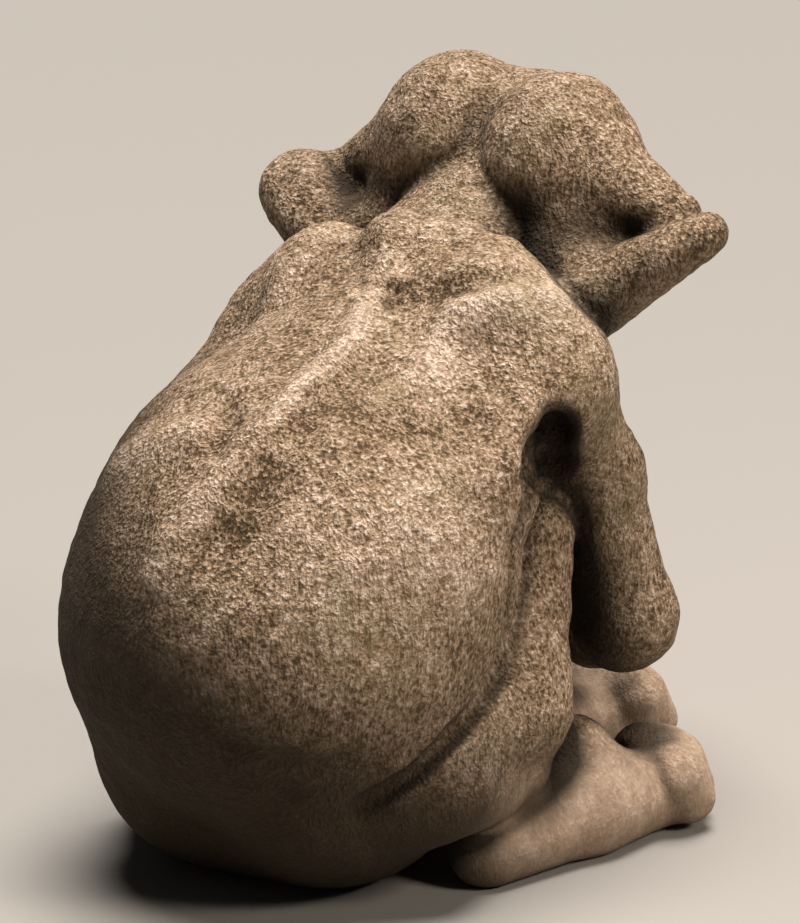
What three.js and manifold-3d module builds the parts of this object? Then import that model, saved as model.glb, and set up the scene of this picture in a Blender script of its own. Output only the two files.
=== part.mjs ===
// A hunched gargoyle statue that sits with its knees drawn up, made as one solid piece.
// Millimetres, +Z up. The figure faces -Y, and +X is its own left.
import * as THREE from "three";
import { mergeVertices } from "three/addons/utils/BufferGeometryUtils.js";
import Module from "manifold-3d";

const wasm = await Module();
wasm.setup();

// Driving dimensions in millimetres
const HEIGHT = 283; // floor to the top of the skull lobes
const BODY_WIDTH = 162; // across the loins, the widest part of the trunk
const SHOULDER_WIDTH = 168; // across the outsides of the shoulders
const EAR_SPAN = 206; // from ear tip to ear tip
const SKULL_WIDTH = 100; // across the two lobes of the skull
const SPINE_FURROW = 4; // depth of the furrow beside the spine
const SHOULDER_BLADE = 5; // how far the shoulder blades stand out of the back
const CLEFT = 9; // how softly the two buttocks run together

// Pose, proportions and carving are shares of the height: 283 shares make the height.
const SHARE = HEIGHT / 283;
const BODY_STRETCH = BODY_WIDTH / (162 * SHARE);
const SHOULDER_STRETCH = SHOULDER_WIDTH / (168 * SHARE);
const EAR_STRETCH = EAR_SPAN / (206 * SHARE);
const SKULL_STRETCH = SKULL_WIDTH / (100 * SHARE);

// A point from three shares of the height, with x widened by a stretch
function at(x, y, z, stretch = 1) {
  return new THREE.Vector3(x * stretch, y, z).multiplyScalar(SHARE);
}

// Two values run together with a soft fillet of the given width
function blend(a, b, width) {
  const near = Math.max(width - Math.abs(a - b), 0) / width;
  return Math.min(a, b) - (near * near * width) / 4;
}

// Signed distance to an egg with three radii, its long axis falling to the back by a tilt in degrees
function egg(centre, radii, tilt = 0) {
  const sine = Math.sin(THREE.MathUtils.degToRad(tilt));
  const cosine = Math.cos(THREE.MathUtils.degToRad(tilt));
  return (p) => {
    const x = (p.x - centre.x) / radii.x;
    const y = ((p.y - centre.y) * cosine - (p.z - centre.z) * sine) / radii.y;
    const z = ((p.y - centre.y) * sine + (p.z - centre.z) * cosine) / radii.z;
    const reach = Math.hypot(x, y, z);
    const slope = Math.hypot(x / radii.x, y / radii.y, z / radii.z);
    return (reach * (reach - 1)) / Math.max(slope, 1e-6);
  };
}

// Signed distance to a round bone that tapers from one radius to another
function bone(from, to, startRadius, endRadius) {
  const run = to.clone().sub(from);
  const offset = new THREE.Vector3();
  return (p) => {
    offset.copy(p).sub(from);
    const share = THREE.MathUtils.clamp(offset.dot(run) / run.lengthSq(), 0, 1);
    offset.addScaledVector(run, -share);
    return offset.length() - THREE.MathUtils.lerp(startRadius, endRadius, share);
  };
}

// The same field on both sides of the plane x = middle
function mirrored(field, middle = 0) {
  const twin = new THREE.Vector3();
  return (p) => field(twin.set(Math.abs(p.x - middle), p.y, p.z));
}

// Several fields run together, each with the fillet it is given
function merged(first, ...others) {
  return (p) => others.reduce((sum, [field, width]) => blend(sum, field(p), width * SHARE), first(p));
}

// A closed three.js geometry as a solid that can be joined and cut
function solidOf(geometry) {
  geometry.deleteAttribute("normal");
  geometry.deleteAttribute("uv");
  const whole = mergeVertices(geometry, 1e-4);
  return new wasm.Manifold(
    new wasm.Mesh({
      numProp: 3,
      vertProperties: whole.attributes.position.array,
      triVerts: new Uint32Array(whole.index.array),
    }),
  );
}

// A ball whose points slide along their own rays, out from a centre, onto the skin of a field.
// The poles of the ball lie along the given axis, and its start can be stretched along them.
function skin(field, centre, around, along, axis, stretch = 1) {
  const ball = new THREE.SphereGeometry(1, around, along);
  ball.scale(1, stretch, 1);
  const turn = new THREE.Quaternion().setFromUnitVectors(new THREE.Vector3(0, 1, 0), axis);
  const spot = ball.attributes.position;
  const ray = new THREE.Vector3();
  const point = new THREE.Vector3();
  for (let i = 0; i < spot.count; i++) {
    ray.fromBufferAttribute(spot, i).normalize().applyQuaternion(turn);
    let inside = 0;
    let outside = HEIGHT;
    for (let step = 0; step < 30; step++) {
      const middle = (inside + outside) / 2;
      if (field(point.copy(centre).addScaledVector(ray, middle)) < 0) inside = middle;
      else outside = middle;
    }
    point.copy(centre).addScaledVector(ray, inside);
    spot.setXYZ(i, point.x, point.y, point.z);
  }
  return solidOf(ball);
}

// A tapered limb with rounded ends, turned on a lathe and laid from one joint to the next
function limb(from, to, startRadius, endRadius, sides = 11, arc = 3) {
  const run = to.clone().sub(from);
  const length = run.length();
  const lean = Math.asin((startRadius - endRadius) / length);
  const profile = [new THREE.Vector2(0, -startRadius)];
  for (let i = 1; i <= arc; i++) {
    const angle = THREE.MathUtils.lerp(-Math.PI / 2, lean, i / arc);
    profile.push(new THREE.Vector2(startRadius * Math.cos(angle), startRadius * Math.sin(angle)));
  }
  for (let i = 0; i < arc; i++) {
    const angle = THREE.MathUtils.lerp(lean, Math.PI / 2, i / arc);
    profile.push(new THREE.Vector2(endRadius * Math.cos(angle), length + endRadius * Math.sin(angle)));
  }
  profile.push(new THREE.Vector2(0, length + endRadius));
  const turned = new THREE.LatheGeometry(profile, sides);
  turned.applyQuaternion(new THREE.Quaternion().setFromUnitVectors(new THREE.Vector3(0, 1, 0), run.normalize()));
  turned.translate(from.x, from.y, from.z);
  return solidOf(turned);
}

// A run of limbs through several joints
function limbs(joints, radii) {
  return joints.slice(1).map((joint, i) => limb(joints[i], joint, radii[i] * SHARE, radii[i + 1] * SHARE));
}

const SIDEWAYS = new THREE.Vector3(1, 0, 0);

// Radii of an egg from three shares, the first widened by a stretch
function radii(x, y, z, stretch = 1) {
  return at(x, y, z, stretch);
}

// The back, loins, buttocks and shoulders as one smooth form with a furrow beside the spine
function trunk() {
  const loins = egg(at(0, 70, 94), radii(81, 75, 77, BODY_STRETCH));
  // The left buttock sits a little lower than the right one.
  const leftButtock = egg(at(27, 64, 52.5, BODY_STRETCH), radii(45, 58, 54, BODY_STRETCH), 14);
  const rightButtock = egg(at(-27, 62, 56, BODY_STRETCH), radii(45, 58, 54, BODY_STRETCH), 14);
  const seat = egg(at(2, 43, 24), radii(47, 60, 31));
  const ribs = egg(at(0, 46, 134), radii(77, 60, 58, BODY_STRETCH), -37);
  const back = egg(at(0, 0, 166), radii(56, 50, 44), -37);
  const nape = mirrored(bone(at(0, -12, 192), at(36, -6, 193), 29 * SHARE, 27 * SHARE));
  const shoulder = mirrored(bone(at(36, -6, 193), at(60, -9, 179, SHOULDER_STRETCH), 27 * SHARE, 24 * SHARE));
  const flank = mirrored(bone(at(57, -4, 176, SHOULDER_STRETCH), at(64, 30, 152, BODY_STRETCH), 24 * SHARE, 22 * SHARE));
  const masses = merged(loins, [leftButtock, CLEFT], [rightButtock, CLEFT], [seat, 12], [ribs, 30], [back, 30]);
  const form = merged(masses, [nape, 14], [shoulder, 14], [flank, 14]);
  // The furrow lies a little to the right of the spine and fades out at the loins and the neck.
  // The shoulder blades are two long ridges that rise out of the back towards the shoulders.
  const ridge = mirrored(bone(at(35, 48, 184), at(58, 6, 200, SHOULDER_STRETCH), 0, 0));
  const carved = (p) => {
    const beside = (p.x / SHARE + 7) / 7;
    const down = (p.z / SHARE - 150) / 48;
    const across = ridge(p) / (15 * SHARE);
    const furrow = SPINE_FURROW * Math.exp(-beside * beside - down * down * down * down);
    return form(p) + furrow - SHOULDER_BLADE * Math.exp(-across * across);
  };
  return skin(carved, at(0, 44, 112), 32, 22, SIDEWAYS);
}

// The wedge of the neck, which runs up into the valley between the two skull lobes, and the throat
function neck() {
  return [
    limb(at(17, -22, 193), at(4, -76, 258), 30 * SHARE, 9 * SHARE),
    limb(at(-7, -20, 194), at(-1, -76, 258), 30 * SHARE, 9 * SHARE),
    limb(at(0, -36, 190), at(3, -92, 206), 24 * SHARE, 20 * SHARE),
  ];
}

// The hump at the top of the back, which stands in front of the neck
function hump() {
  return limb(at(4, -6, 217), at(-30, -15, 215), 15.5 * SHARE, 11 * SHARE);
}

// The side of the chest, pressed between the arm and the knee
function chest(side) {
  return limb(at(side * 24, -8, 150), at(side * 45, -28, 136), 26 * SHARE, 17 * SHARE);
}

// The deep hollow behind the arm, which narrows to a cleft beside the knee, as limbs to be cut away
function armpit(side) {
  return [
    limb(at(side * 88, 18, 170), at(side * 62, -10, 160), 7.5 * SHARE, 6 * SHARE, 8, 2),
    limb(at(side * 91, 20, 160), at(side * 70, 6, 152), 14 * SHARE, 10 * SHARE, 9, 2),
    limb(at(side * 90, 21, 156), at(side * 88, 21, 118), 14 * SHARE, 7 * SHARE, 8, 2),
  ];
}

// The bowed head: two lobes, flaring sides that carry the ears, brow, face and muzzle
function head() {
  // The head leans to the right, so the left lobe stands a little higher.
  const lobe = (side) => egg(at(3 + 23.5 * side, -70, 248 + 2 * side, SKULL_STRETCH), radii(26, 33, 32.5, SKULL_STRETCH));
  const crown = egg(at(3, -84, 246), radii(30, 30, 30));
  const skull = egg(at(3, -88, 236), radii(42, 38, 32));
  const flare = (side) =>
    bone(
      at(3 + 28 * side, -68, 247.5 + 2.5 * side),
      at(3 + 77 * side, -69, 231 + side, EAR_STRETCH),
      25 * SHARE,
      10 * SHARE,
    );
  const cheek = mirrored(bone(at(28, -96, 226), at(48, -78, 214), 20 * SHARE, 14 * SHARE), 3 * SHARE);
  const jaw = mirrored(bone(at(45, -78, 213), at(44, -48, 208), 15 * SHARE, 17 * SHARE), 3 * SHARE);
  const face = egg(at(3, -106, 214), radii(34, 28, 26));
  const muzzle = egg(at(3, -120, 203), radii(23, 19, 15));
  const brow = mirrored(bone(at(5, -124, 230), at(31, -112, 235), 9 * SHARE, 8 * SHARE), 3 * SHARE);
  const lobes = merged(lobe(1), [lobe(-1), 2], [crown, 10], [skull, 12]);
  const top = merged(lobes, [flare(1), 14], [flare(-1), 14], [cheek, 10]);
  const form = merged(top, [jaw, 8], [face, 14], [muzzle, 10], [brow, 8]);
  const socket = mirrored(egg(at(19, -134, 222), radii(9, 9, 7)), 3 * SHARE);
  const carved = (p) => -blend(-form(p), socket(p), 5 * SHARE);
  return skin(carved, at(3, -88, 232), 26, 21, SIDEWAYS);
}

// A thick paddle-shaped ear that rises from the side of the jaw, a little flatter along its face
function ear(side, root, tip, ends) {
  const from = at(side * root[0], root[1], root[2]);
  const to = at(side * tip[0], tip[1], tip[2], EAR_STRETCH);
  const face = new THREE.Vector3(side * -0.52, 0.31, 0.8).normalize();
  const flatness = 1.35;
  const run = to.clone().sub(from);
  const end = to.clone().addScaledVector(face, run.dot(face) * (flatness - 1));
  const paddle = bone(from, end, ends[0] * SHARE, ends[1] * SHARE);
  const offset = new THREE.Vector3();
  const form = (p) => {
    const lift = offset.copy(p).sub(from).dot(face) * (flatness - 1);
    return paddle(offset.copy(p).addScaledVector(face, lift)) / flatness;
  };
  return skin(form, from.clone().lerp(to, 0.5), 11, 10, run.normalize(), 1.5);
}

// An arm that hangs outside the shin, with the forearm folded across to the other hand
function arm(side) {
  const joint = (x, y, z, stretch) => at(side * x, y, z, stretch);
  const shoulder = joint(59, -10, 179, SHOULDER_STRETCH);
  const upper = limbs([shoulder, joint(64, -38, 140), joint(65, -53, 82)], [24, 14, 19]);
  const lower = limbs([joint(65, -54, 80), joint(38, -80, 82), joint(12, -93, 84)], [18.5, 14, 12]);
  const underside = limb(joint(62, -57, 77), joint(35, -76, 66), 17 * SHARE, 17 * SHARE);
  const palm = skin(egg(joint(8, -95, 84), radii(17, 11, 14)), joint(8, -95, 84), 12, 8, SIDEWAYS);
  const lift = side < 0 ? 6 : 2;
  const fingers = [0, 1, 2, 3].map((i) =>
    limb(joint(2, -98 - lift, 95 - 7 * i), joint(-14, -98 - lift, 93 - 7 * i), 4.2 * SHARE, 3.4 * SHARE, 6, 2),
  );
  return [...upper, ...lower, underside, palm, ...fingers];
}

// A foot that points from heel to toes, with four short toes that fan out, the outer one furthest back
function foot(side, heel, bridge, toe) {
  const ahead = toe.clone().sub(heel).setZ(0).normalize();
  const across = new THREE.Vector3(-ahead.y, ahead.x, 0).multiplyScalar(side * SHARE);
  const instep = heel.clone().lerp(toe, 0.5).add(at(0, 0, 3));
  const ball = toe.clone().addScaledVector(ahead, -14 * SHARE);
  const sole = limbs([heel, instep, ball], [14, 18, 16]);
  const arch = limbs([bridge, instep.clone().lerp(toe, 0.3)], [14, 14]);
  const toes = [-1.5, -0.5, 0.5, 1.5].map((place) => {
    const reach = 5 - 3 * (place + 0.5) ** 2;
    const knuckle = ball.clone().addScaledVector(across, 7.8 * place).addScaledVector(ahead, (reach + 7) * SHARE);
    const nail = toe.clone().addScaledVector(across, 8.4 * place).addScaledVector(ahead, reach * SHARE);
    return limb(knuckle.add(at(0, 0, 8.5)), nail.add(at(0, 0, -1.5)), 12.5 * SHARE, 10.5 * SHARE, 8, 2);
  });
  return [...sole, ...arch, ...toes];
}

// A drawn-up leg: heavy thigh sagging to the floor, calf folded under it, thin shin and a long foot
function leg(side, thigh, knee, ankle, heel, bridge, toe) {
  const upper = limbs([at(side * 46, 62, 54), thigh, knee], [38, 24, 17]);
  const calf = limb(at(side * 71, 61, 42), at(side * 60, 16, 31), 15 * SHARE, 14 * SHARE);
  const lower = limbs([knee, ankle], [15.5, 12.5]);
  return [...upper, calf, ...lower, ...foot(side, heel, bridge, toe)];
}

// Everything below the floor, cut away to leave flat patches under the buttocks and the feet
function belowFloor() {
  const slab = new THREE.BoxGeometry(3 * HEIGHT, 3 * HEIGHT, HEIGHT);
  slab.translate(0, 0, -HEIGHT / 2);
  return solidOf(slab);
}

// A solid without what its joins and cuts leave over: shut pockets are filled and slivers dropped.
// A form that comes loose from the body stays, so that it shows.
function withoutLeftovers(body) {
  const sliver = 1; // cubic millimetres
  const shells = body.decompose().filter((shell) => shell.volume() > sliver);
  return shells.reduce((sum, shell) => sum.add(shell));
}

// The whole figure as one closed body, standing with the centre of its box over the origin
function figure() {
  const rightFoot = [at(-66, 32, 12), at(-62, -27, 33), at(-78, -70, 14)];
  const leftFoot = [at(8, -26, 13), at(12, -70, 32), at(-16, -126, 16)];
  const forms = [
    trunk(),
    hump(),
    chest(1),
    chest(-1),
    ...neck(),
    head(),
    ear(1, [47, -42, 196], [87, -51, 224], [21, 20]),
    ear(-1, [53, -42, 200], [91, -58, 225], [21, 12.5]),
    ...arm(1),
    ...arm(-1),
    ...leg(-1, at(-57, 14, 62), at(-50, -12, 118), at(-64, 12, 38), ...rightFoot),
    ...leg(1, at(54, 12, 62), at(50, -20, 118), at(13, -46, 38), ...leftFoot),
  ];
  const cuts = [belowFloor(), ...armpit(1), ...armpit(-1)];
  const joined = forms.reduce((sum, form) => sum.add(form));
  const body = cuts.reduce((left, cut) => left.subtract(cut), joined);
  const mesh = withoutLeftovers(body).getMesh();
  const geometry = new THREE.BufferGeometry();
  geometry.setAttribute("position", new THREE.BufferAttribute(mesh.vertProperties, 3));
  geometry.setIndex(new THREE.BufferAttribute(mesh.triVerts, 1));
  geometry.computeBoundingBox();
  const middle = geometry.boundingBox.getCenter(new THREE.Vector3());
  geometry.translate(-middle.x, -middle.y, -geometry.boundingBox.min.z);
  geometry.computeVertexNormals();
  return geometry;
}

// Matt grey-brown stoneware, dry to the touch
function stoneware() {
  return new THREE.MeshStandardMaterial({ color: 0x8c7a66, roughness: 0.92, metalness: 0 });
}

const group = new THREE.Group();
const gargoyle = new THREE.Mesh(figure(), stoneware());
gargoyle.name = "gargoyle";
group.add(gargoyle);

export default group;
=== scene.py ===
# A hunched gargoyle statue, sitting with its knees drawn up, seen from behind its right shoulder.
import math

import bpy
import numpy as np
from mathutils import Matrix, Vector


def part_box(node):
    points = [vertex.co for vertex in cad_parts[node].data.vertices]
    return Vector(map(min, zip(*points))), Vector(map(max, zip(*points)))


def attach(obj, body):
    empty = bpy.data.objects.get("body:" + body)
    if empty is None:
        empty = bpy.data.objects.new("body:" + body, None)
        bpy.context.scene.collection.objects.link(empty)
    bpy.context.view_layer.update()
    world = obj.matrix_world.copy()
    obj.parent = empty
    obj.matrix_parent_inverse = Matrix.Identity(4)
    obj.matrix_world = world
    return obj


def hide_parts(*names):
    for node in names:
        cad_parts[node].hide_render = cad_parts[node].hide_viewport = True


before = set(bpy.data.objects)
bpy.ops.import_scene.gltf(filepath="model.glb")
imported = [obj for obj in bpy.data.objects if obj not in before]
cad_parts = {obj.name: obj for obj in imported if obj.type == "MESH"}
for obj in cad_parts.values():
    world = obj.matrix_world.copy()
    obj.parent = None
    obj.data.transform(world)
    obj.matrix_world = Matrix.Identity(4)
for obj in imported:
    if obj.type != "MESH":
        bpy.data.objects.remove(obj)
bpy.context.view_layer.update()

# Sizes of the statue are in shares of its height: 283 shares from the floor to the top of the skull
LATTICE_STEP = 2.0
LOW_CORNER = np.array([-114.0, -150.0, -8.0])
HIGH_CORNER = np.array([114.0, 158.0, 286.0])
FLOOR_EDGE = 2.0

# The viewing angle: the camera stands behind the right shoulder, a little above it
VIEW_AZIMUTH = 219.0
VIEW_ELEVATION = 14.0
VIEW_DISTANCE = 1.30
VIEW_LENS = 137.0
VIEW_TARGET = Vector((-0.0015, -0.0024, 0.140))

# The crust's patterns, in cells to a metre, and how far the finest of it stands proud, in metres
BEND_SCALE = 38.0
STROKE_SCALE = 900.0
WOBBLE_SCALE = 420.0
GRAIN_SCALE = 560.0
CRUMB_SCALE = 520.0
CLUMP_SCALE = 150.0
STAIN_SCALE = 20.0
CRUST_HEIGHT = 0.0013

# Paint. The last three browns are painted shade: under surfaces that face down, low on the back and in
# patches (with some dark wash), and in hollows (with some dirt)
PIT_BROWN = (0.075, 0.046, 0.022, 1)
DARK_BROWN = (0.27, 0.185, 0.115, 1)
BODY_BROWN = (0.43, 0.32, 0.23, 1)
BRUSHED_BEIGE = (0.74, 0.60, 0.50, 1)
MOSS_GREEN = (0.15, 0.125, 0.05, 1)
WORN_PINK = (0.47, 0.35, 0.27, 1)
UNDERSIDE_SHADE_BROWN = (0.10, 0.072, 0.036, 1)
SHADE_AND_WASH_BROWN = (0.026, 0.016, 0.007, 1)
HOLLOW_SHADE_BROWN = (0.016, 0.010, 0.005, 1)
FLOOR_GREY = (0.30, 0.287, 0.27, 1)


# Fields: each takes an array of points and gives one distance a point, under nothing inside the form

def soft_min(a, b, width):
    """The smaller of two distances, less a quarter of the width times the square of how near they are."""
    near = np.maximum(width - np.abs(a - b), 0) / width
    return np.minimum(a, b) - near * near * (width / 4)


def soft_max(a, b, width):
    """The larger of two distances with the same fillet, which carves one form with another."""
    return -soft_min(-a, -b, width)


def both_sides(points, middle=0.0):
    """The points folded over onto the left half: x becomes its distance from the middle."""
    return np.stack([np.abs(points[:, 0] - middle), points[:, 1], points[:, 2]], axis=1)


def mirrored_for(points, side):
    """The points with x turned round for the right side."""
    return points * np.array([side, 1, 1], np.float32)


def egg(points, centre, radii, tilt=0.0):
    """An egg: with q the point over the radii, |q| times (|q| - 1) over |q / radii|.

    The tilt, in degrees, lowers its back.
    """
    sine, cosine = math.sin(math.radians(tilt)), math.cos(math.radians(tilt))
    x, y, z = (points - np.array(centre, np.float32)).T
    q = np.stack([x, y * cosine - z * sine, y * sine + z * cosine], axis=1) / np.array(radii, np.float32)
    reach = np.sqrt((q * q).sum(axis=1))
    slope = q / np.array(radii, np.float32)
    return reach * (reach - 1) / np.maximum(np.sqrt((slope * slope).sum(axis=1)), 1e-6)


def bone(points, start, end, start_radius, end_radius):
    """A tapered bone: the distance to the nearest place on a straight line, less the radius there."""
    start, end = np.array(start, np.float32), np.array(end, np.float32)
    run = end - start
    offset = points - start
    share = np.clip(offset @ run / (run @ run), 0, 1)
    offset = offset - share[:, None] * run
    return np.sqrt((offset * offset).sum(axis=1)) - (start_radius + share * (end_radius - start_radius))


def limb(points, joints, radii, fillet=8.0):
    """Bones through several joints, run together with a fillet."""
    form = bone(points, joints[0], joints[1], radii[0], radii[1])
    for i in range(1, len(joints) - 1):
        form = soft_min(form, bone(points, joints[i], joints[i + 1], radii[i], radii[i + 1]), fillet)
    return form


def along(points, path, width):
    """1 on a path and falling off as exp of minus the squared distance over the width squared."""
    nearest = np.full(len(points), np.inf, np.float32)
    for start, end in zip(path, path[1:]):
        nearest = np.minimum(nearest, bone(points, start, end, 0, 0))
    return np.exp(-((nearest / width) ** 2))


def trunk(points):
    """Back, buttocks, seat, loins, chest, shoulders and hump, as eggs and bones run together, then carved."""
    twin = both_sides(points)
    form = egg(points, (0, 70, 94), (81, 75, 77))
    form = soft_min(form, egg(points, (27, 64, 52.5), (45, 58, 54), 14), 9)
    form = soft_min(form, egg(points, (-27, 62, 56), (45, 58, 54), 14), 9)
    form = soft_min(form, egg(points, (2, 43, 24), (47, 60, 31)), 12)
    form = soft_min(form, egg(points, (0, 46, 134), (77, 60, 58), -37), 30)
    form = soft_min(form, egg(points, (0, 0, 166), (56, 50, 44), -37), 30)
    form = soft_min(form, bone(twin, (0, -12, 192), (36, -6, 193), 29, 27), 14)
    form = soft_min(form, bone(twin, (36, -6, 193), (60, -9, 179), 27, 24), 14)
    form = soft_min(form, bone(twin, (57, -4, 176), (64, 30, 152), 24, 22), 14)
    form = soft_min(form, bone(points, (4, -6, 217), (-32, -17, 215.5), 16, 10), 9)
    return form - back_relief(points)


def back_relief(points):
    """How far the back stands out or in: ridges and hollows that fall off to both sides of a path."""
    raised = [
        (4.2, 6.0, [(-12, 31, 207), (-18, 48, 199), (-21, 62, 193), (-21, 80, 185), (-20, 99, 173)]),
        (3.2, 9.0, [(-20, 99, 172), (-19, 109, 163), (-13, 123, 151), (-7, 131, 139), (-3, 137, 126)]),
        (2.5, 8.0, [(0, 2, 223), (-6, 16, 215)]),
        (4.5, 11.0, [(-68, -4, 209), (-61, 2, 214), (-56, 14, 212), (-49, 25, 206), (-46, 32, 196),
                     (-48, 42, 188)]),
        (2.5, 10.0, [(33, 0, 223), (36, 12, 219), (38, 30, 205)]),
        (3.0, 9.0, [(41, 109, 152), (26, 107, 164), (10, 106, 170)]),
        (2.5, 22.0, [(-59, 105, 135), (-68, 84, 146), (-81, 65, 125)]),
    ]
    sunk = [
        (2.6, 7.0, [(-35, 52, 193), (-32, 66, 187), (-30, 80, 180), (-28, 92, 173), (-26, 103, 165)]),
        (3.6, 9.0, [(-27, 105, 162), (-27, 113, 153), (-26, 119, 145), (-24, 124, 136)]),
        (4.0, 6.0, [(-19, 26, 207), (-28, 21, 210), (-44, 15, 214), (-57, 1, 218)]),
        (2.0, 6.0, [(23, -14, 223), (14, -4, 221), (9, 6, 218)]),
        (2.5, 8.0, [(-32, 76, 181), (-50, 72, 175), (-61, 59, 170), (-69, 44, 170)]),
        (2.5, 5.0, [(2, 94, 178), (-5, 100, 173), (-5, 107, 167)]),
        (2.5, 5.0, [(-33, 135, 72), (-47, 126, 65), (-58, 115, 63), (-64, 109, 64)]),
        (3.0, 6.0, [(-47, 121, 50), (-40, 122, 41), (-30, 117, 28)]),
    ]
    lift = np.max([height * along(points, path, width) for height, width, path in raised], axis=0)
    drop = np.max([depth * along(points, path, width) for depth, width, path in sunk], axis=0)
    return lift - drop


def head(points):
    """The bowed head: lobes, skull, flaring sides, jaw, face, muzzle and brow, with eyes, nose and mouth."""
    twin = both_sides(points, 3)
    form = egg(points, (26.5, -70, 250), (26, 33, 32.5))
    form = soft_min(form, egg(points, (-20.5, -70, 246), (26, 33, 32.5)), 2)
    form = soft_min(form, egg(points, (3, -84, 246), (30, 30, 30)), 10)
    form = soft_min(form, egg(points, (3, -88, 236), (42, 38, 32)), 12)
    form = soft_min(form, bone(points, (31, -68, 250), (80, -69, 232), 25, 10), 14)
    form = soft_min(form, bone(points, (-25, -68, 245), (-74, -69, 230), 25, 10), 14)
    form = soft_min(form, bone(twin, (28, -96, 226), (48, -78, 214), 20, 14), 10)
    form = soft_min(form, bone(twin, (25, -67, 236), (41, -57, 210), 24, 18), 12)
    form = soft_min(form, bone(twin, (45, -78, 213), (44, -48, 208), 15, 17), 14)
    form = soft_min(form, egg(points, (3, -106, 214), (34, 28, 26)), 14)
    form = soft_min(form, egg(points, (3, -120, 203), (23, 19, 15)), 10)
    form = soft_min(form, bone(twin, (2, -124, 230), (28, -112, 235), 9, 8), 8)
    form = soft_max(form, -egg(twin, (16, -134, 222), (9, 9, 7)), 5)
    form = soft_min(form, egg(twin, (15, -122, 221), (7, 6, 5.5)), 1.5)
    form = soft_min(form, bone(points, (3, -122, 224), (3, -130, 208), 4, 6), 6)
    form = soft_min(form, egg(twin, (6, -130, 206), (4.5, 4.5, 4)), 3)
    form = soft_max(form, -egg(twin, (5, -136, 204.5), (2.2, 4, 1.8)), 1.5)
    mouth = bone(twin, (0, -139, 197), (16, -126, 196), 1.2, 1.2)
    return soft_max(form, -mouth, 2)


def ear(points, side, root, tip, radii):
    """A thick paddle: a tapered bone, a little flatter along the plate's normal, and cupped below."""
    q = mirrored_for(points, side)
    root, tip = np.array(root, np.float32), np.array(tip, np.float32)
    normal = np.array([-0.52, 0.31, 0.8], np.float32)
    normal /= np.linalg.norm(normal)
    flatness = 1.35
    squashed = q + np.outer((q - root) @ normal, normal) * (flatness - 1)
    far = tip + normal * ((tip - root) @ normal) * (flatness - 1)
    form = bone(squashed, root, far, radii[0], radii[1]) / flatness
    cup_start = root + (tip - root) * 0.45 - normal * 20
    cup_end = root + (tip - root) * 1.0 - normal * 19
    return soft_max(form, -bone(q, cup_start, cup_end, 8, 11), 4)


def arm(points, side):
    """Upper arm, elbow, forearm, palm and four curled fingers."""
    q = mirrored_for(points, side)
    form = limb(q, [(59, -10, 179), (64, -38, 140), (65, -53, 82)], [24, 14, 19], 10)
    lower = limb(q, [(65, -54, 80), (38, -80, 82), (12, -93, 84)], [18.5, 14, 12], 8)
    lower = soft_min(lower, bone(q, (62, -57, 77), (35, -76, 66), 17, 17), 6)
    lower = soft_min(lower, egg(q, (8, -95, 84), (17, 11, 14)), 6)
    lift = 6 if side < 0 else 2
    for i in range(4):
        near, far = (2, -98 - lift, 95 - 7 * i), (-14, -98 - lift, 93 - 7 * i)
        lower = soft_min(lower, bone(q, near, far, 4.2, 3.4), 2)
    return soft_min(form, lower, 8)


def foot(points, side, heel, bridge, toe):
    """Heel, instep and ball, with four short toes fanned across the front, the outer one furthest back."""
    heel, bridge, toe = (np.array(p, np.float32) for p in (heel, bridge, toe))
    ahead = (toe - heel) * np.array([1, 1, 0], np.float32)
    ahead /= np.linalg.norm(ahead)
    across = side * np.array([-ahead[1], ahead[0], 0], np.float32)
    up = np.array([0, 0, 1], np.float32)
    instep = (heel + toe) / 2 + 3 * up
    ball = toe - 14 * ahead
    form = limb(points, [heel, instep, ball], [14, 18, 16], 8)
    form = soft_min(form, bone(points, bridge, instep + (toe - instep) * 0.3, 14, 14), 8)
    for place in (-1.5, -0.5, 0.5, 1.5):
        reach = 5 - 3 * (place + 0.5) ** 2
        knuckle = ball + 7.8 * place * across + (reach + 7) * ahead + 8.5 * up
        nail = toe + 8.4 * place * across + reach * ahead - 1.5 * up
        form = soft_min(form, bone(points, knuckle, nail, 12.5, 10.5), 3.5)
    return form


def leg(points, side, thigh, knee, ankle, heel, instep, toe):
    """A heavy thigh from the hip to the raised knee, the calf folded under it, a thin shin and the foot."""
    form = limb(points, [(side * 46, 62, 54), thigh, knee], [38, 24, 17], 14)
    form = soft_min(form, bone(points, (side * 71, 61, 42), (side * 60, 16, 31), 15, 14), 8)
    form = soft_min(form, bone(points, knee, ankle, 15.5, 12.5), 5)
    return soft_min(form, foot(points, side, heel, instep, toe), 4)


def neck(points):
    """The wedge of the neck, two bones that meet in the valley of the skull, and the throat under it."""
    wedge = soft_min(bone(points, (17, -22, 193), (4, -76, 258), 30, 9),
                     bone(points, (-7, -20, 194), (-1, -76, 258), 30, 9), 10)
    return soft_min(wedge, bone(points, (0, -36, 190), (3, -92, 206), 24, 20), 6)


def armpit(points, side):
    """The deep hollow behind the arm, which narrows to a cleft beside the knee: bones, to be carved away."""
    q = mirrored_for(points, side)
    form = bone(q, (83, 14, 168), (62, -10, 160), 7, 6)
    form = soft_min(form, bone(q, (83, 14, 157), (62, -10, 149), 7.5, 6.5), 5)
    form = soft_min(form, bone(q, (91, 20, 160), (70, 6, 152), 14, 10), 4)
    form = soft_min(form, bone(q, (79, 26, 149), (80.5, 31, 132), 8, 5), 5)
    return soft_min(form, bone(q, (90, 21, 156), (88, 21, 118), 14, 7), 6)


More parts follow.
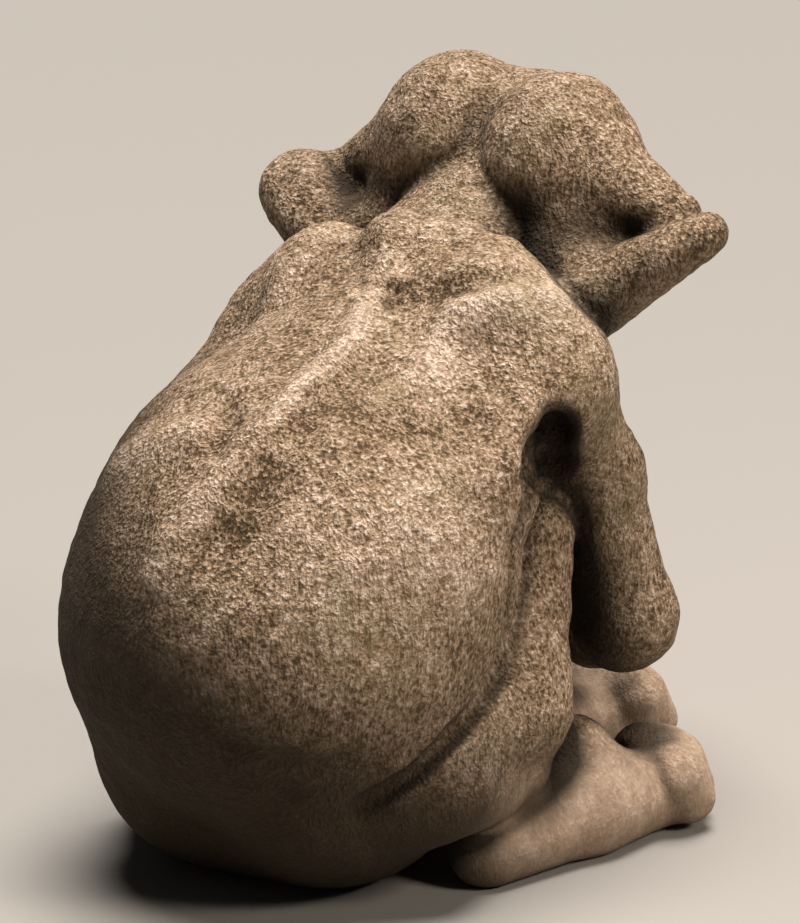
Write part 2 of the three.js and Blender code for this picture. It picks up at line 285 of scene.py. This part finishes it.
def statue(points):
    """The whole figure as one form, with the crease along the thigh, cut flat at the floor."""
    form = soft_min(trunk(points), bone(both_sides(points), (24, -8, 150), (45, -28, 136), 26, 17), 10)
    form = soft_min(form, neck(points), 3)
    top = head(points)
    top = soft_min(top, ear(points, 1, (47, -42, 196), (87, -51, 224), (21, 20)), 6)
    top = soft_min(top, ear(points, -1, (53, -42, 200), (91, -58, 225), (21, 12.5)), 6)
    form = soft_min(form, top, 3)
    form = soft_min(form, soft_min(arm(points, 1), arm(points, -1), 2), 6)
    right = leg(points, -1, (-57, 14, 62), (-50, -12, 118), (-64, 12, 38),
                (-66, 32, 12), (-62, -27, 33), (-78, -70, 14))
    left = leg(points, 1, (54, 12, 62), (50, -20, 118), (13, -46, 38),
               (8, -26, 13), (12, -70, 32), (-16, -126, 16))
    form = soft_min(soft_min(form, right, 4), left, 4)
    form = soft_max(form, -armpit(points, -1), 7)
    form = soft_max(form, -armpit(points, 1), 7)
    thigh_crease = [(-78, 35, 123), (-76, 33, 108), (-72, 30, 92), (-73, 35, 82), (-76, 48, 75),
                    (-77, 60, 70), (-77, 73, 65), (-74, 81, 58), (-69, 88, 53), (-61, 97, 46)]
    form = form + 7.0 * along(points, thigh_crease, 3.6)
    return soft_max(form, -points[:, 2], FLOOR_EDGE)


def statue_in_blocks(points):
    """The figure's field worked out a block of points at a time, to keep the arrays small."""
    points = points.astype(np.float32)
    blocks = np.array_split(points, max(1, len(points) // 200000))
    return np.concatenate([statue(block) for block in blocks])


# The skin: the field on a lattice, then one vertex in each cell that the surface crosses

def lattice_field(step, coarse=4):
    """The field on a lattice: coarse everywhere, and fine in the blocks that lie near the surface."""
    blocks = np.ceil((HIGH_CORNER - LOW_CORNER) / (step * coarse)).astype(int)
    count = blocks * coarse + 1
    axes = [LOW_CORNER[i] + step * np.arange(0, count[i], coarse) for i in range(3)]
    knots = np.stack(np.meshgrid(*axes, indexing="ij"), axis=-1)
    rough = statue_in_blocks(knots.reshape(-1, 3)).reshape(knots.shape[:3])
    field = rough.repeat(coarse, 0).repeat(coarse, 1).repeat(coarse, 2)
    field = field[:count[0], :count[1], :count[2]].copy()
    corners = [rough[i:blocks[0] + i, j:blocks[1] + j, k:blocks[2] + k]
               for i in (0, 1) for j in (0, 1) for k in (0, 1)]
    near = np.argwhere(np.abs(np.stack(corners)).min(axis=0) < 1.9 * step * coarse) * coarse
    inner = np.stack(np.meshgrid(*[np.arange(coarse + 1)] * 3, indexing="ij"), axis=-1).reshape(-1, 3)
    places = (near[:, None, :] + inner[None]).reshape(-1, 3)
    keys = np.unique(places @ np.array([count[1] * count[2], count[2], 1]))
    places = np.stack([keys // (count[1] * count[2]), keys // count[2] % count[1], keys % count[2]], axis=1)
    field[tuple(places.T)] = statue_in_blocks(LOW_CORNER + places * step)
    return field


def unpinched(field):
    """Where a lattice face has two opposite corners inside, the other two go just inside, until none has."""
    while True:
        inside = field < 0
        pinched = np.zeros(field.shape, bool)
        for plane in ((0, 1), (1, 2), (0, 2)):
            here = np.moveaxis(inside, plane, (0, 1))
            mark = np.moveaxis(pinched, plane, (0, 1))
            a, b, c, d = here[:-1, :-1], here[1:, :-1], here[:-1, 1:], here[1:, 1:]
            crossed = (a == d) & (b == c) & (a != b)
            for corner in (mark[:-1, :-1], mark[1:, :-1], mark[:-1, 1:], mark[1:, 1:]):
                corner |= crossed
        pinched &= ~inside
        if not pinched.any():
            return field
        field[pinched] = -0.05


def skin_of(field, step):
    """A vertex in each crossed cell, at the mean of its edges' crossings, and a quad round each such edge."""
    inside = field < 0
    size = np.array(field.shape) - 1
    filled = sum(inside[i:size[0] + i, j:size[1] + j, k:size[2] + k].astype(np.int8)
                 for i in (0, 1) for j in (0, 1) for k in (0, 1))
    crossed = (filled > 0) & (filled < 8)
    number = np.full(crossed.shape, -1, np.int64)
    number[crossed] = np.arange(crossed.sum())
    cells = np.argwhere(crossed)
    total = np.zeros((len(cells), 3))
    count = np.zeros(len(cells))
    quads = []
    for axis in range(3):
        first, second = [a for a in range(3) if a != axis]
        for u, v in ((0, 0), (0, 1), (1, 0), (1, 1)):
            start = cells.copy()
            start[:, first] += u
            start[:, second] += v
            end = start.copy()
            end[:, axis] += 1
            a, b = field[tuple(start.T)], field[tuple(end.T)]
            cut = (a < 0) != (b < 0)
            spot = start.astype(float)
            spot[:, axis] += np.where(cut, a / np.where(cut, a - b, 1), 0)
            total += np.where(cut[:, None], spot, 0)
            count += cut
        second, third = (axis + 1) % 3, (axis + 2) % 3
        low = np.moveaxis(inside, axis, 0)
        changed = np.moveaxis(low[1:] != low[:-1], 0, axis)
        edges = np.argwhere(changed)
        rounds = []
        for du, dv in ((1, 1), (0, 1), (0, 0), (1, 0)):
            cell = edges.copy()
            cell[:, second] -= du
            cell[:, third] -= dv
            rounds.append(number[tuple(cell.T)])
        quad = np.stack(rounds, axis=1)
        outward = inside[tuple(edges.T)]
        quad[~outward] = quad[~outward][:, ::-1]
        quads.append(quad)
    return LOW_CORNER + total / count[:, None] * step, np.concatenate(quads)


def slope_of(points, reach=0.4):
    """The field's slope at each point, from the difference of the field a small way to each side."""
    slope = np.zeros_like(points)
    for axis in range(3):
        step = np.zeros(3)
        step[axis] = reach
        slope[:, axis] = statue_in_blocks(points + step) - statue_in_blocks(points - step)
    return slope / (2 * reach)


def unit(vectors):
    """Each row over its own length."""
    return vectors / np.maximum(np.linalg.norm(vectors, axis=1, keepdims=True), 1e-9)


def relaxed(points, quads, rounds=2):
    """Each vertex moves along the surface to the mean of its neighbours, then back onto the field's zero."""
    ends = np.concatenate([quads, np.roll(quads, -1, axis=1)])
    starts = np.concatenate([quads, np.roll(quads, 1, axis=1)])
    pairs = np.stack([starts[:len(quads)], ends[len(quads):]], axis=-1).reshape(-1, 2)
    pairs = np.concatenate([pairs, pairs[:, ::-1]])
    share = np.bincount(pairs[:, 0], minlength=len(points))
    for _ in range(rounds):
        mean = np.stack([np.bincount(pairs[:, 0], points[pairs[:, 1], axis], len(points))
                         for axis in range(3)], axis=1)
        normal = unit(slope_of(points))
        move = mean / share[:, None] - points
        move -= (move * normal).sum(axis=1, keepdims=True) * normal
        points = points + 0.6 * move
        slope = slope_of(points)
        steep = np.maximum((slope * slope).sum(axis=1), 0.2)
        points = points - slope * (np.clip(statue_in_blocks(points), -1, 1) / steep)[:, None]
    return points


# Relief: seeded noise that lifts the skin along its own normals

def lattice_noise(points, cell, seed):
    """Smooth noise from -1 to 1: random values at the knots of a lattice, eased between them."""
    table = np.random.default_rng(seed).uniform(-1, 1, (32, 32, 32))
    place = points / cell
    knot = np.floor(place).astype(int)
    ease = place - knot
    ease = ease * ease * ease * (ease * (ease * 6 - 15) + 10)
    value = 0
    for corner in np.ndindex(2, 2, 2):
        index = (knot + corner) % 32
        weight = np.prod(np.where(corner, ease, 1 - ease), axis=1)
        value = value + weight * table[tuple(index.T)]
    return value


def crust_of(points):
    """1 where the skin is crusty, less on hands, feet and the worn bottom: it falls off with the distance."""
    height = points[:, 2]
    worn = np.clip((height - 8) / 60, 0, 1)
    worn = 0.35 + 0.65 * worn * worn * (3 - 2 * worn)
    feet = along(points, [(-66, 32, 12), (-78, -70, 14)], 34)
    feet = feet + along(points, [(8, -26, 13), (-16, -126, 16)], 30)
    hands = along(points, [(-20, -100, 84), (20, -100, 84)], 22)
    return np.clip(worn - 0.5 * np.clip(feet, 0, 1) - 0.4 * hands, 0.12, 1)


def lumps_on(points):
    """Lumps of three sizes on the crust, and torn crumbs in a patch under the neck."""
    crust = crust_of(points)
    lumps = 0.22 * lattice_noise(points, 13, 1) + 0.35 * lattice_noise(points, 7, 2)
    lumps += 0.4 * lattice_noise(points, 4.4, 3)
    patch = along(points, [(-5, 22, 208), (-22, 22, 208)], 9)
    crumbs = 2.4 * (1 - 2 * np.abs(lattice_noise(points, 6, 4))) + 1.6 * lattice_noise(points, 3.6, 5)
    return crust * lumps + patch * crumbs


def shade_and_wash_of(points):
    """Painted shade with some dark wash: 1 low on the back, easing to 0 at a line that rises to the left, and
    painted shade in patches along short paths.
    """
    # Low on the back: painted shade, with some dark wash
    edge = 161 + 0.8 * np.clip(points[:, 0], -80, 60)
    low = np.clip((edge - points[:, 2]) / 66, 0, 1)
    behind = np.clip((points[:, 1] - 8) / 55, 0, 1)
    back = low * low * (3 - 2 * low) * behind
    # Painted shade in patches: at the ankle, the elbow, under both lobes of the skull and at the root of an
    # ear
    ankle = 0.9 * along(points, [(-75, 4, 42), (-76, 8, 29), (-74, 23, 26)], 10)
    elbow = 0.8 * along(points, [(-66, -30, 104), (-70, -33, 88), (-72, -36, 72)], 11)
    right_lobe = 0.9 * along(points, [(-28, -37, 232), (-42, -37, 222), (-50, -46, 228)], 12)
    left_lobe = 0.8 * along(points, [(47, -43, 233), (58, -42, 225)], 8)
    ear_root = 0.5 * along(points, [(-68, -30, 204), (-82, -40, 218)], 9)
    return np.max([back, ankle, elbow, right_lobe, left_lobe, ear_root], axis=0)


def hollow_shade_of(points, normals):
    """0 in the open and towards 1 in a hollow: how much nearer the statue is than a step along the normal.

    Painted shade in hollows and creases, with some dirt; the band along the right thigh keeps less of it.
    """
    shade = np.zeros(len(points))
    for reach, weight in ((3, 0.15), (8, 0.2), (18, 0.3), (36, 0.35)):
        free = statue_in_blocks(points + normals * reach)
        shade += weight * np.clip(1 - free / reach, 0, 1)
    thigh = [(-63, -5, 127), (-72, 2, 100), (-80, 16, 79), (-82, 45, 57)]
    return shade * (1 - 0.6 * along(points, thigh, 10))


def mesh_from(name, points, quads, shades):
    """A mesh of quads with one number a vertex for each named shade."""
    mesh = bpy.data.meshes.new(name)
    mesh.vertices.add(len(points))
    mesh.vertices.foreach_set("co", points.astype(np.float32).ravel())
    mesh.loops.add(quads.size)
    mesh.loops.foreach_set("vertex_index", quads.astype(np.int32).ravel())
    mesh.polygons.add(len(quads))
    mesh.polygons.foreach_set("loop_start", np.arange(0, quads.size, 4, dtype=np.int32))
    mesh.polygons.foreach_set("use_smooth", np.ones(len(quads), bool))
    for shade, values in shades.items():
        mesh.attributes.new(shade, "FLOAT", "POINT").data.foreach_set("value", values.astype(np.float32))
    mesh.update(calc_edges=True)
    mesh.validate()
    return mesh


def statue_piece():
    """The statue's skin, carved and lumpy, set into the box of the plain solid that it stands for."""
    points, quads = skin_of(unpinched(lattice_field(LATTICE_STEP)), LATTICE_STEP)
    points = relaxed(points, quads)
    normals = unit(slope_of(points))
    lumps = lumps_on(points) * np.clip(points[:, 2] / 5, 0, 1)
    shades = {
        # Painted shade in hollows and creases, with some dirt
        "hollow": hollow_shade_of(points, normals),
        "lumps": lumps,
        "crust": crust_of(points),
        # Painted shade low on the back and in patches, with some dark wash
        "shade_and_wash": shade_and_wash_of(points),
        # Painted highlight on the back's raised relief and painted shade in its furrows
        "ridge_highlight_and_shade": back_relief(points.astype(np.float32)) / 5,
        # Painted shade: surfaces that face down are painted darker
        "under": np.clip((0.15 - normals[:, 2]) / 0.8, 0, 1),
    }
    points = points + normals * lumps[:, None]
    points[:, 2] = np.maximum(points[:, 2], 0)
    low, high = (np.array(corner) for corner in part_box("gargoyle"))
    size = (high - low) / (points.max(axis=0) - points.min(axis=0))
    points = low + (points - points.min(axis=0)) * size
    piece = bpy.data.objects.new("gargoyle_skin", mesh_from("gargoyle_skin", points, quads, shades))
    bpy.context.scene.collection.objects.link(piece)
    return piece


# Materials

def add_node(tree, kind, inputs=None, **settings):
    """A node with its settings and the values or links of its sockets."""
    node = tree.nodes.new(kind)
    for key, value in settings.items():
        setattr(node, key, value)
    for socket, value in (inputs or {}).items():
        if isinstance(value, bpy.types.NodeSocket):
            tree.links.new(value, node.inputs[socket])
        else:
            node.inputs[socket].default_value = value
    return node


def maths(tree, operation, a, b):
    """One sum of two numbers or sockets."""
    return add_node(tree, "ShaderNodeMath", {0: a, 1: b}, operation=operation).outputs[0]


def mixed(tree, share, a, b):
    """Two colours mixed by a share."""
    node = add_node(tree, "ShaderNodeMix", {0: share, 6: a, 7: b}, data_type="RGBA")
    return node.outputs[2]


def stretch(tree, value, low, high, new_low=0.0, new_high=1.0):
    """A number moved from one range onto another, and kept inside it."""
    inputs = {0: value, 1: low, 2: high, 3: new_low, 4: new_high}
    return add_node(tree, "ShaderNodeMapRange", inputs).outputs[0]


def shade(tree, name):
    """The number that each vertex keeps under a name."""
    return add_node(tree, "ShaderNodeAttribute", attribute_name=name).outputs["Fac"]


def cloud(tree, place, scale, detail, roughness=0.5):
    """A noise node at a scale."""
    inputs = {"Vector": place, "Scale": scale, "Detail": detail, "Roughness": roughness}
    return add_node(tree, "ShaderNodeTexNoise", inputs)


def moved(tree, place, push):
    """A place pushed by an offset."""
    return add_node(tree, "ShaderNodeVectorMath", {0: place, 1: push}, operation="ADD").outputs[0]


def scaled(tree, vector, share):
    """A vector times a number."""
    return add_node(tree, "ShaderNodeVectorMath", {0: vector, "Scale": share}, operation="SCALE").outputs[0]


def crust_height(tree, place, clumps):
    """Strokes, grains, crumbs and clumps added up: about 0 in the pits, 1 on the lumps, a half on average."""
    bend = cloud(tree, place, BEND_SCALE, 1.0).outputs["Color"]
    bend = moved(tree, bend, (-0.5, -0.5, -0.5))
    bent = moved(tree, place, scaled(tree, bend, 0.010))
    drawn_out = add_node(tree, "ShaderNodeMapping",
                         {"Vector": bent, "Rotation": (0.0, 0.72, 0.68), "Scale": (1, 1, 0.3)}).outputs[0]
    strokes = cloud(tree, drawn_out, STROKE_SCALE, 1.0).outputs["Fac"]
    wobble = cloud(tree, place, WOBBLE_SCALE, 1.0).outputs["Color"]
    wobbled = moved(tree, bent, scaled(tree, wobble, 0.0030))
    grains = add_node(tree, "ShaderNodeTexVoronoi", {"Vector": wobbled, "Scale": GRAIN_SCALE}, feature="F1")
    crumbs = cloud(tree, place, CRUMB_SCALE, 3.0, 0.62).outputs["Fac"]
    height = maths(tree, "MULTIPLY", stretch(tree, grains.outputs["Distance"], 0.62, 0.10), 0.26)
    for part, weight in ((strokes, 0.55), (crumbs, 0.95), (clumps, 0.55)):
        height = maths(tree, "ADD", height, maths(tree, "MULTIPLY", part, weight))
    return stretch(tree, height, 0.80, 1.58)


def brushed_brown(tree, tone):
    """Dark pits, brown body and pale dry-brushed lumps, by the tone from 0 to 1."""
    ramp = add_node(tree, "ShaderNodeValToRGB", {0: tone})
    stops = ramp.color_ramp.elements
    stops[0].position, stops[0].color = 0.08, PIT_BROWN
    stops[1].position, stops[1].color = 0.92, BRUSHED_BEIGE
    for position, colour in ((0.36, DARK_BROWN), (0.58, BODY_BROWN)):
        stops.new(position).color = colour
    return ramp.outputs["Color"]


def cast_stone():
    """Grey-brown stone with a fine crust and hair-like strokes, dark in its pits and dry-brushed pale, with
    painted highlight on the back's ridges and painted shade in its furrows, underneath, low down and in
    hollows.
    """
    material = bpy.data.materials.new("cast_stone")
    material.use_nodes = True
    tree = material.node_tree
    tree.nodes.clear()
    place = add_node(tree, "ShaderNodeTexCoord").outputs["Object"]
    crust = shade(tree, "crust")
    clumps = cloud(tree, place, CLUMP_SCALE, 3.0, 0.6).outputs["Fac"]
    stains = cloud(tree, place, STAIN_SCALE, 4.0, 0.6).outputs["Fac"]
    height = crust_height(tree, place, clumps)

    # Tone: the crust's height, weaker where the skin is smooth, with lumps, the back's ridges lighter and
    # furrows darker as painted highlight and shade, mottling and stains
    tone = maths(tree, "SUBTRACT", height, 0.5)
    tone = maths(tree, "MULTIPLY", tone, stretch(tree, crust, 0.1, 1.0, 0.45, 1.0))
    tone = maths(tree, "ADD", tone, maths(tree, "MULTIPLY", shade(tree, "lumps"), 0.07))
    tone = maths(tree, "ADD", tone, maths(tree, "MULTIPLY", shade(tree, "ridge_highlight_and_shade"), 0.32))
    smooth = stretch(tree, crust, 0.6, 0.2, 0.0, 0.9)
    tone = maths(tree, "ADD", tone, maths(tree, "MULTIPLY", maths(tree, "SUBTRACT", clumps, 0.5), smooth))
    tone = maths(tree, "ADD", tone, stretch(tree, stains, 0.3, 0.7, 0.40, 0.60))

    # Colour: each coat of paint covers the ones before it by its own share; the last three coats are painted
    # shade, under surfaces that face down, low on the back and in patches (with some dark wash), and in
    # hollows (with some dirt)
    colour = brushed_brown(tree, tone)
    coats = (
        (MOSS_GREEN, 0.45, stretch(tree, stains, 0.54, 0.72)),
        (WORN_PINK, 0.5, stretch(tree, crust, 0.6, 0.25)),
        (UNDERSIDE_SHADE_BROWN, 0.55, shade(tree, "under")),
        (SHADE_AND_WASH_BROWN, 0.94, shade(tree, "shade_and_wash")),
        (HOLLOW_SHADE_BROWN, 0.92, stretch(tree, shade(tree, "hollow"), 0.17, 0.62)),
    )
    for paint, share, where in coats:
        colour = mixed(tree, maths(tree, "MULTIPLY", where, share), colour, paint)

    depth = stretch(tree, crust, 0.1, 1.0, 0.3, 1.0)
    bump = add_node(tree, "ShaderNodeBump", {"Height": height, "Strength": depth, "Distance": CRUST_HEIGHT})
    surface = add_node(tree, "ShaderNodeBsdfPrincipled",
                       {"Base Color": colour, "Normal": bump.outputs[0], "Roughness": 0.88,
                        "Specular IOR Level": 0.28})
    output = add_node(tree, "ShaderNodeOutputMaterial", {"Surface": surface.outputs[0]})
    output.is_active_output = True
    return material


def floor_paint():
    """Plain pale matt paint for the floor."""
    material = bpy.data.materials.new("pale_floor")
    material.use_nodes = True
    surface = material.node_tree.nodes["Principled BSDF"]
    surface.inputs["Base Color"].default_value = FLOOR_GREY
    surface.inputs["Roughness"].default_value = 0.9
    return material


# Floor, lights and camera

def pale_floor():
    """A flat square under the statue."""
    mesh = bpy.data.meshes.new("pale_floor")
    corners = [(-4, -4, 0), (4, -4, 0), (4, 4, 0), (-4, 4, 0)]
    mesh.from_pydata(corners, [], [(0, 1, 2, 3)])
    floor = bpy.data.objects.new("pale_floor", mesh)
    bpy.context.scene.collection.objects.link(floor)
    mesh.materials.append(floor_paint())


def view_axes(azimuth, elevation):
    """The directions to the right, up and back of a camera at an azimuth and an elevation in degrees."""
    a, e = math.radians(azimuth), math.radians(elevation)
    back = Vector((math.sin(a) * math.cos(e), -math.cos(a) * math.cos(e), math.sin(e)))
    right = Vector((math.cos(a), math.sin(a), 0))
    return right, back.cross(right), back


def place_facing(thing, spot, axes):
    """Stands a camera or a light at a spot, its three axes given."""
    turn = Matrix(axes).transposed().to_4x4()
    thing.matrix_world = Matrix.Translation(spot) @ turn
    bpy.context.scene.collection.objects.link(thing)


def soft_box(name, azimuth, elevation, distance, size, power, colour):
    """A square soft box that faces the statue from an azimuth and an elevation."""
    lamp = bpy.data.lights.new(name, "AREA")
    lamp.shape, lamp.size, lamp.energy, lamp.color = "SQUARE", size, power, colour
    axes = view_axes(azimuth, elevation)
    place_facing(bpy.data.objects.new(name, lamp), VIEW_TARGET + distance * axes[2], axes)


def sky_panel(name, azimuth, elevation, spread, strength, colour):
    """A very wide far light, soft at the edges, that falls evenly on the statue and the whole floor."""
    lamp = bpy.data.lights.new(name, "SUN")
    lamp.angle, lamp.energy, lamp.color = math.radians(spread), strength, colour
    axes = view_axes(azimuth, elevation)
    place_facing(bpy.data.objects.new(name, lamp), VIEW_TARGET + 2.0 * axes[2], axes)


def camera():
    """The camera behind the right shoulder, at the photograph's angle."""
    lens = bpy.data.cameras.new("camera")
    lens.sensor_fit, lens.sensor_height, lens.lens = "VERTICAL", 36.0, VIEW_LENS
    axes = view_axes(VIEW_AZIMUTH, VIEW_ELEVATION)
    thing = bpy.data.objects.new("camera", lens)
    place_facing(thing, VIEW_TARGET + VIEW_DISTANCE * axes[2], axes)
    bpy.context.scene.camera = thing


def studio():
    """The floor, an even light from overhead, a soft box on the statue's right side and a dim pale room."""
    pale_floor()
    sky_panel("overhead", 0, 86, 36, 6.2, (1.0, 0.93, 0.86))
    soft_box("right_side", 278, 32, 1.6, 0.4, 13.0, (1.0, 0.88, 0.76))
    world = bpy.data.worlds.new("room")
    world.use_nodes = True
    world.node_tree.nodes["Background"].inputs["Color"].default_value = (0.80, 0.78, 0.75, 1)
    world.node_tree.nodes["Background"].inputs["Strength"].default_value = 0.04
    bpy.context.scene.world = world
    bpy.context.scene.view_settings.view_transform = "Standard"


skin = statue_piece()
skin.data.materials.append(cast_stone())
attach(skin, "root")
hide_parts("gargoyle")
studio()
camera()
